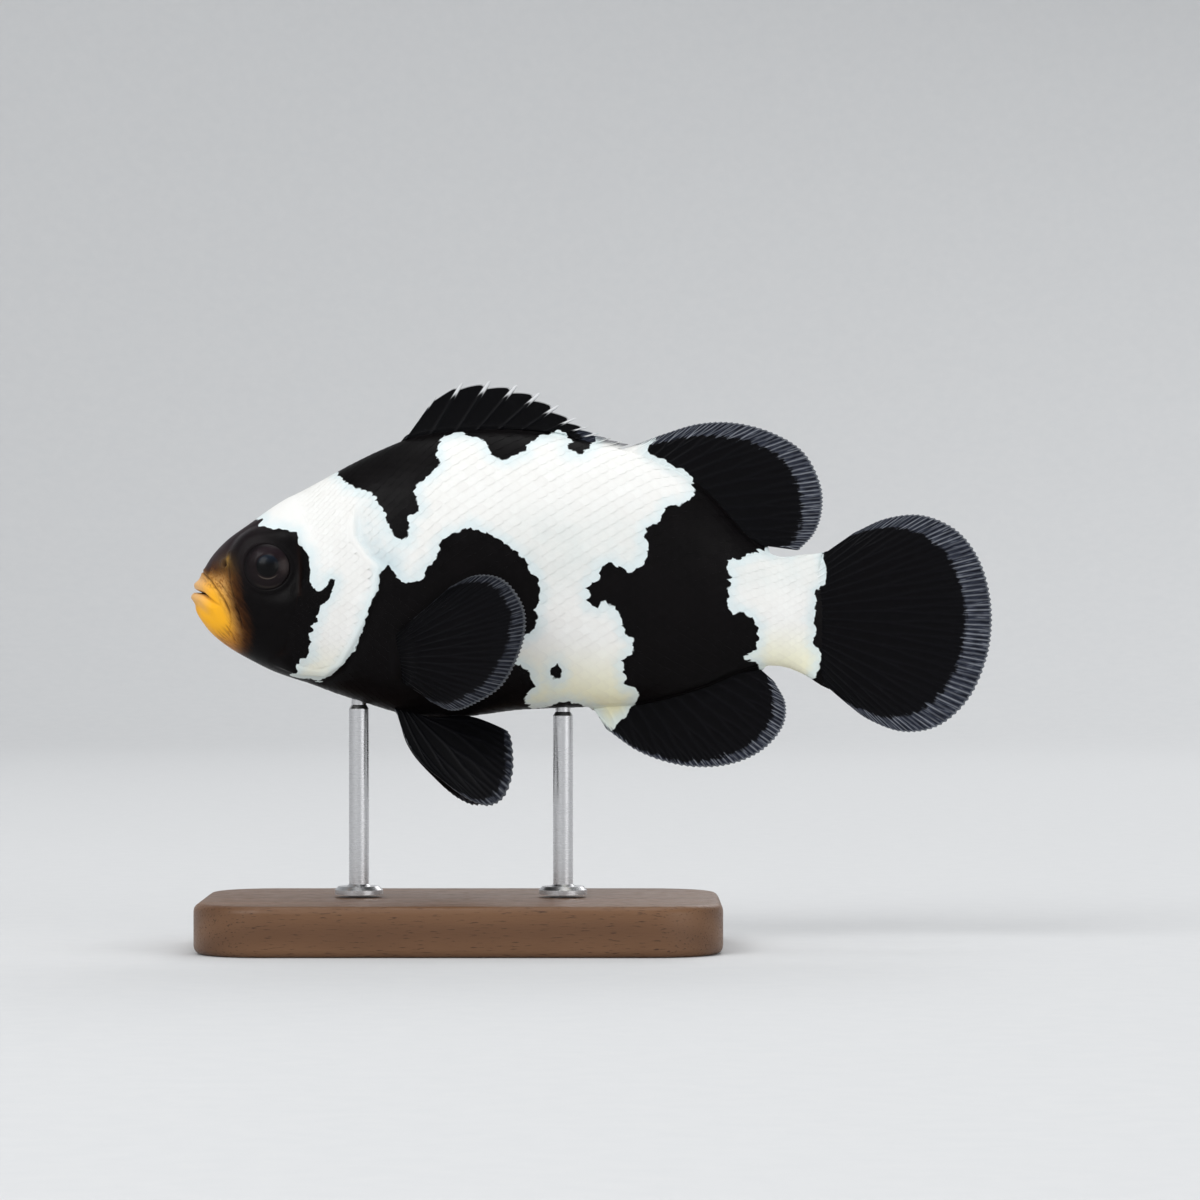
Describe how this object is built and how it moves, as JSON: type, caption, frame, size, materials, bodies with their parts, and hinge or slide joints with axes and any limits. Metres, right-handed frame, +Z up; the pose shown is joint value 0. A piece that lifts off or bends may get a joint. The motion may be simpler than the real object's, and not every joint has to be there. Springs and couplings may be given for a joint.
{
  "type": "clownfish display model",
  "caption": "Life-size black and white clownfish with an orange mouth and spread fins, held level over a plain wooden base by slim metal rods.",
  "frame": {"origin": "on the floor, under the middle of the fish's length and of the base's width", "axes": "+X from the snout towards the tail fin, +Y towards the fish's right flank, +Z up"},
  "size_m": [0.0798, 0.032, 0.0566],
  "materials": {
    "skin": "moist scaly skin, black with irregular white patches, orange at the mouth",
    "fins": "black ribbed membrane with a finely streaked grey margin",
    "eye": "wet gloss, dark brown iris round a blue-black pupil",
    "stand_base": "satin oiled walnut",
    "stand_rod": "brushed"
  },
  "bodies": {
    "root": {"head": "skin", "lower_jaw": "skin", "gill_cover_left": "skin", "gill_cover_right": "skin", "trunk": "skin", "tail_stalk": "skin", "spiny_dorsal_fin": "fins", "soft_dorsal_fin": "fins", "anal_fin": "fins", "tail_fin": "fins", "pectoral_fin_left": "fins", "pectoral_fin_right": "fins", "pelvic_fin_left": "fins", "pelvic_fin_right": "fins", "eye_left": "eye", "eye_right": "eye", "stand_base": "stand_base", "stand_rod_front": "stand_rod", "stand_rod_rear": "stand_rod"}
  },
  "joints": []
}
